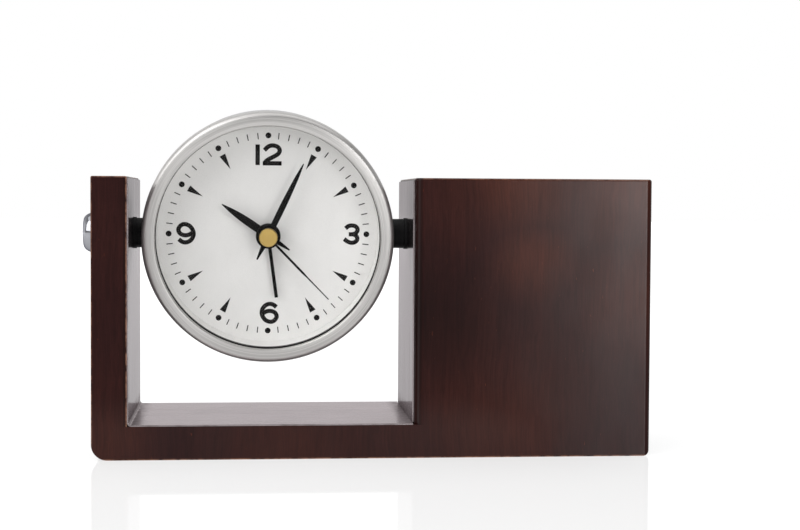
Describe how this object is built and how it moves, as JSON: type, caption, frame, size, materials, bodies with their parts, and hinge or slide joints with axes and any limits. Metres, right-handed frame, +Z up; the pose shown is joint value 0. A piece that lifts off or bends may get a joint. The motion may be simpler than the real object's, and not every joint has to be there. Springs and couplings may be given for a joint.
{
  "type": "desk clock",
  "caption": "Desk clock: a round quartz alarm clock swivels between a slim wooden post and a wooden box with an open pen well, over a metal-lined gap.",
  "frame": {"origin": "middle of the stand's underside", "axes": "+X to the viewer's right along the stand's length, -Y out of the front, +Z up"},
  "size_m": [0.1963, 0.06, 0.1196],
  "materials": {
    "stand_wood": "dark mahogany stain under satin lacquer",
    "liner_sheet": "fine brushed satin sheet",
    "bush_nylon": "black nylon",
    "spacer_black": "black satin plastic",
    "screw_chrome": "polished chrome",
    "bezel_metal": "circular brushed",
    "case_metal": "satin",
    "lens_clear": "clear polished",
    "dial_paint": "silvery white satin paint, plain numbers and marks",
    "hand_black": "black satin paint",
    "cap_brass": "fine turned brass",
    "cover_black": "fine textured black plastic",
    "movement_black": "moulded black plastic",
    "gear_white": "moulded white acetal",
    "steel": "plain ground steel",
    "coil_copper": "enamelled copper wire",
    "board_green": "green solder mask",
    "chip_epoxy": "black epoxy",
    "battery_jacket": "printed jacket, left plain",
    "sounder_brass": "rolled brass disc",
    "magnet_grey": "sintered magnet"
  },
  "bodies": {
    "stand": {"base_board": "stand_wood", "left_post": "stand_wood", "box_front": "stand_wood", "box_back": "stand_wood", "box_left": "stand_wood", "box_right": "stand_wood", "well_floor": "stand_wood", "liner_left": "liner_sheet", "liner_floor": "liner_sheet", "liner_right": "liner_sheet", "pivot_bush_left": "bush_nylon", "pivot_bush_right": "bush_nylon"},
    "clock": {"pivot_screw_left": "screw_chrome", "pivot_screw_right": "screw_chrome", "spacer_left": "spacer_black", "spacer_right": "spacer_black", "bezel": "bezel_metal", "case_shell": "case_metal", "lens": "lens_clear", "dial": "dial_paint", "back_cover": "cover_black", "cover_screws": "steel", "movement_front_plate": "movement_black", "movement_case": "movement_black", "middle_plate": "movement_black", "stator": "steel", "coil_core": "steel", "coil": "coil_copper", "circuit_board": "board_green", "quartz_crystal": "screw_chrome", "driver_chip": "chip_epoxy", "buzzer": "sounder_brass", "battery": "battery_jacket", "battery_contact_plus": "steel", "battery_contact_minus": "steel"},
    "seconds": {"seconds_hand": "hand_black", "hand_cap": "cap_brass", "seconds_wheel": "steel"},
    "minutes": {"minute_hand": "hand_black", "minute_wheel": "gear_white"},
    "hours": {"hour_hand": "hand_black", "hour_wheel": "gear_white"},
    "alarm": {"alarm_hand": "hand_black", "alarm_wheel": "gear_white"},
    "third": {"third_wheel": "gear_white"},
    "intermediate": {"intermediate_wheel": "gear_white"},
    "rotor": {"rotor": "magnet_grey"},
    "time_setter": {"motion_wheel": "gear_white", "time_knob": "cover_black"},
    "alarm_setter": {"alarm_set_wheel": "gear_white", "alarm_knob": "cover_black"},
    "alarm_switch": {"alarm_switch": "cover_black"},
    "battery_door": {"battery_door": "cover_black"}
  },
  "joints": [
    {"name": "clock_swivel", "type": "hinge", "parent": "stand", "child": "clock", "pos_m": [-0.0359, 0, 0.0756], "axis": [1, 0, 0], "continuous": true},
    {"name": "seconds_hand_turn", "type": "hinge", "parent": "clock", "child": "seconds", "pos_m": [-0.0359, 0, 0.0756], "axis": [0, 0.9925, 0.1219], "continuous": true},
    {"name": "minute_hand_turn", "type": "hinge", "parent": "clock", "child": "minutes", "pos_m": [-0.0359, 0, 0.0756], "axis": [0, 0.9925, 0.1219], "continuous": true},
    {"name": "hour_hand_turn", "type": "hinge", "parent": "clock", "child": "hours", "pos_m": [-0.0359, 0, 0.0756], "axis": [0, 0.9925, 0.1219], "continuous": true},
    {"name": "third_wheel_turn", "type": "hinge", "parent": "clock", "child": "third", "pos_m": [-0.0359, -0.00104, 0.08404], "axis": [0, 0.9925, 0.1219], "continuous": true},
    {"name": "intermediate_wheel_turn", "type": "hinge", "parent": "clock", "child": "intermediate", "pos_m": [-0.0359, -0.00073, 0.08156], "axis": [0, 0.9925, 0.1219], "continuous": true},
    {"name": "rotor_turn", "type": "hinge", "parent": "clock", "child": "rotor", "pos_m": [-0.0359, -0.00151, 0.08788], "axis": [0, 0.9925, 0.1219], "continuous": true},
    {"name": "time_knob_turn", "type": "hinge", "parent": "clock", "child": "time_setter", "pos_m": [-0.04514, 0, 0.0756], "axis": [0, 0.9925, 0.1219], "continuous": true},
    {"name": "alarm_knob_turn", "type": "hinge", "parent": "clock", "child": "alarm_setter", "pos_m": [-0.02666, 0, 0.0756], "axis": [0, 0.9925, 0.1219], "continuous": true},
    {"name": "alarm_hand_turn", "type": "hinge", "parent": "clock", "child": "alarm", "pos_m": [-0.0359, 0, 0.0756], "axis": [0, 0.9925, 0.1219], "continuous": true},
    {"name": "alarm_switch_slide", "type": "slide", "parent": "clock", "child": "alarm_switch", "axis": [1, 0, 0], "range_m": [0, 0.003]},
    {"name": "battery_door_pull", "type": "slide", "parent": "clock", "child": "battery_door", "axis": [0, 0.9925, 0.1219], "range_m": [0, 0.012]}
  ],
  "couplings": [
    {"joint": "third_wheel_turn", "follows": "seconds_hand_turn", "ratio": -0.13333},
    {"joint": "minute_hand_turn", "follows": "seconds_hand_turn", "ratio": 0.016667},
    {"joint": "time_knob_turn", "follows": "seconds_hand_turn", "ratio": -0.0055556},
    {"joint": "hour_hand_turn", "follows": "seconds_hand_turn", "ratio": 0.0013889},
    {"joint": "intermediate_wheel_turn", "follows": "seconds_hand_turn", "ratio": -4},
    {"joint": "rotor_turn", "follows": "seconds_hand_turn", "ratio": 30},
    {"joint": "alarm_hand_turn", "follows": "alarm_knob_turn", "ratio": -0.5}
  ]
}
